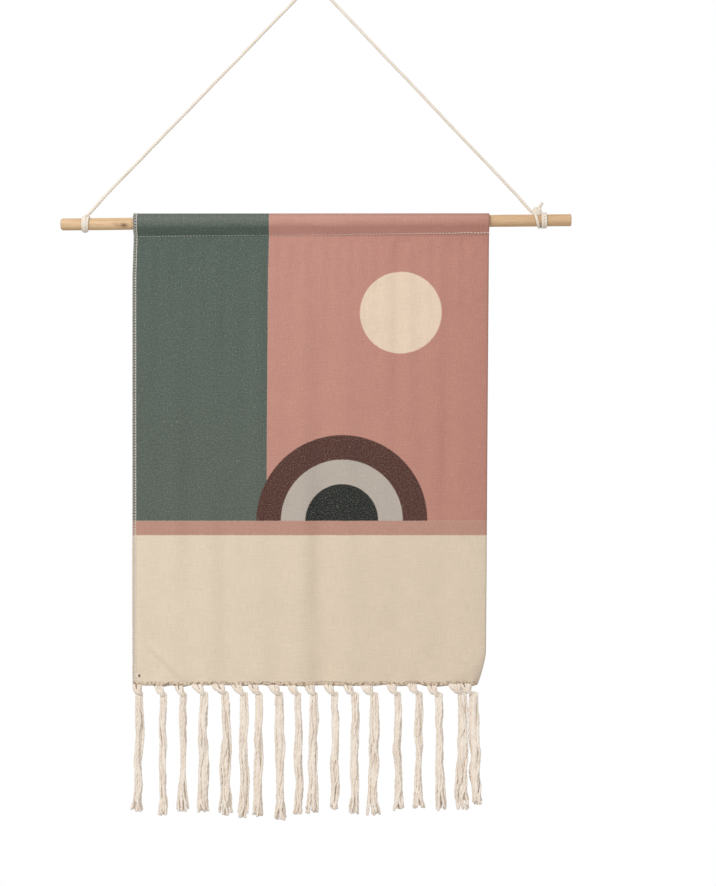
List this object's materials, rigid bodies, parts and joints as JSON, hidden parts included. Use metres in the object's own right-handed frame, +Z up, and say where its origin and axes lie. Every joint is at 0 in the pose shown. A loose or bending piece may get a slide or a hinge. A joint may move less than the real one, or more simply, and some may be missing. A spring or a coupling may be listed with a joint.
{
  "type": "tapestry wall hanging",
  "caption": "Printed canvas tapestry on a wooden rod, hung from a tied cotton cord, with a knotted yarn fringe along its hem.",
  "frame": {"origin": "the point under the top of the hanging cord where a nail bears", "axes": "+Z up along the hanging cloth, the printed face looks along -Y, the wall is on the +Y side, +X to the right as seen from the front"},
  "size_m": [0.5, 0.0198, 0.8202],
  "materials": {
    "cord": "twisted natural cotton",
    "rod_wood": "bare sanded pale wood",
    "canvas": "printed cotton and linen canvas, matte",
    "thread": "matte sewing thread",
    "tassel_yarn": "loose natural cotton yarn"
  },
  "bodies": {
    "cord": {"hanging_cord": "cord", "left_cord_knot": "cord", "right_cord_knot": "cord"},
    "rod": {"rod": "rod_wood"},
    "pocket": {"pocket": "canvas", "pocket_stitching": "thread", "pocket_overlock": "thread"},
    "panel": {"panel": "canvas", "panel_overlock": "thread", "hem_stitching": "thread", "hem_knot_01": "tassel_yarn", "hem_knot_02": "tassel_yarn", "hem_knot_03": "tassel_yarn", "hem_knot_04": "tassel_yarn", "hem_knot_05": "tassel_yarn", "hem_knot_06": "tassel_yarn", "hem_knot_07": "tassel_yarn", "hem_knot_08": "tassel_yarn", "hem_knot_09": "tassel_yarn", "hem_knot_10": "tassel_yarn", "hem_knot_11": "tassel_yarn", "hem_knot_12": "tassel_yarn", "hem_knot_13": "tassel_yarn", "hem_knot_14": "tassel_yarn", "hem_knot_15": "tassel_yarn", "hem_knot_16": "tassel_yarn", "hem_knot_17": "tassel_yarn", "hem_knot_18": "tassel_yarn"},
    "tassel_01": {"tassel_01": "tassel_yarn"},
    "tassel_02": {"tassel_02": "tassel_yarn"},
    "tassel_03": {"tassel_03": "tassel_yarn"},
    "tassel_04": {"tassel_04": "tassel_yarn"},
    "tassel_05": {"tassel_05": "tassel_yarn"},
    "tassel_06": {"tassel_06": "tassel_yarn"},
    "tassel_07": {"tassel_07": "tassel_yarn"},
    "tassel_08": {"tassel_08": "tassel_yarn"},
    "tassel_09": {"tassel_09": "tassel_yarn"},
    "tassel_10": {"tassel_10": "tassel_yarn"},
    "tassel_11": {"tassel_11": "tassel_yarn"},
    "tassel_12": {"tassel_12": "tassel_yarn"},
    "tassel_13": {"tassel_13": "tassel_yarn"},
    "tassel_14": {"tassel_14": "tassel_yarn"},
    "tassel_15": {"tassel_15": "tassel_yarn"},
    "tassel_16": {"tassel_16": "tassel_yarn"},
    "tassel_17": {"tassel_17": "tassel_yarn"},
    "tassel_18": {"tassel_18": "tassel_yarn"}
  },
  "joints": [
    {"name": "rod_roll", "type": "hinge", "parent": "cord", "child": "rod", "pos_m": [0.0024, 0, -0.232], "axis": [-1, 0, -0.0084], "range_deg": [0, 90]},
    {"name": "pocket_slide", "type": "slide", "parent": "rod", "child": "pocket", "axis": [1, 0, 0], "range_m": [-0.04, 0.04]},
    {"name": "panel_swing", "type": "hinge", "parent": "pocket", "child": "panel", "pos_m": [0, 0, -0.2458], "axis": [-1, 0, 0], "range_deg": [0, 90]},
    {"name": "tassel_01_swing", "type": "hinge", "parent": "panel", "child": "tassel_01", "pos_m": [0, 0, -0.69381], "axis": [-1, 0, 0], "range_deg": [-90, 90]},
    {"name": "tassel_02_swing", "type": "hinge", "parent": "panel", "child": "tassel_02", "pos_m": [0, 0, -0.69381], "axis": [-1, 0, 0], "range_deg": [-90, 90]},
    {"name": "tassel_03_swing", "type": "hinge", "parent": "panel", "child": "tassel_03", "pos_m": [0, 0, -0.69381], "axis": [-1, 0, 0], "range_deg": [-90, 90]},
    {"name": "tassel_04_swing", "type": "hinge", "parent": "panel", "child": "tassel_04", "pos_m": [0, 0, -0.69381], "axis": [-1, 0, 0], "range_deg": [-90, 90]},
    {"name": "tassel_05_swing", "type": "hinge", "parent": "panel", "child": "tassel_05", "pos_m": [0, 0, -0.69381], "axis": [-1, 0, 0], "range_deg": [-90, 90]},
    {"name": "tassel_06_swing", "type": "hinge", "parent": "panel", "child": "tassel_06", "pos_m": [0, 0, -0.69381], "axis": [-1, 0, 0], "range_deg": [-90, 90]},
    {"name": "tassel_07_swing", "type": "hinge", "parent": "panel", "child": "tassel_07", "pos_m": [0, 0, -0.69381], "axis": [-1, 0, 0], "range_deg": [-90, 90]},
    {"name": "tassel_08_swing", "type": "hinge", "parent": "panel", "child": "tassel_08", "pos_m": [0, 0, -0.69381], "axis": [-1, 0, 0], "range_deg": [-90, 90]},
    {"name": "tassel_09_swing", "type": "hinge", "parent": "panel", "child": "tassel_09", "pos_m": [0, 0, -0.69381], "axis": [-1, 0, 0], "range_deg": [-90, 90]},
    {"name": "tassel_10_swing", "type": "hinge", "parent": "panel", "child": "tassel_10", "pos_m": [0, 0, -0.69381], "axis": [-1, 0, 0], "range_deg": [-90, 90]},
    {"name": "tassel_11_swing", "type": "hinge", "parent": "panel", "child": "tassel_11", "pos_m": [0, 0, -0.69381], "axis": [-1, 0, 0], "range_deg": [-90, 90]},
    {"name": "tassel_12_swing", "type": "hinge", "parent": "panel", "child": "tassel_12", "pos_m": [0, 0, -0.69381], "axis": [-1, 0, 0], "range_deg": [-90, 90]},
    {"name": "tassel_13_swing", "type": "hinge", "parent": "panel", "child": "tassel_13", "pos_m": [0, 0, -0.69381], "axis": [-1, 0, 0], "range_deg": [-90, 90]},
    {"name": "tassel_14_swing", "type": "hinge", "parent": "panel", "child": "tassel_14", "pos_m": [0, 0, -0.69381], "axis": [-1, 0, 0], "range_deg": [-90, 90]},
    {"name": "tassel_15_swing", "type": "hinge", "parent": "panel", "child": "tassel_15", "pos_m": [0, 0, -0.69381], "axis": [-1, 0, 0], "range_deg": [-90, 90]},
    {"name": "tassel_16_swing", "type": "hinge", "parent": "panel", "child": "tassel_16", "pos_m": [0, 0, -0.69381], "axis": [-1, 0, 0], "range_deg": [-90, 90]},
    {"name": "tassel_17_swing", "type": "hinge", "parent": "panel", "child": "tassel_17", "pos_m": [0, 0, -0.69381], "axis": [-1, 0, 0], "range_deg": [-90, 90]},
    {"name": "tassel_18_swing", "type": "hinge", "parent": "panel", "child": "tassel_18", "pos_m": [0, 0, -0.69381], "axis": [-1, 0, 0], "range_deg": [-90, 90]}
  ]
}
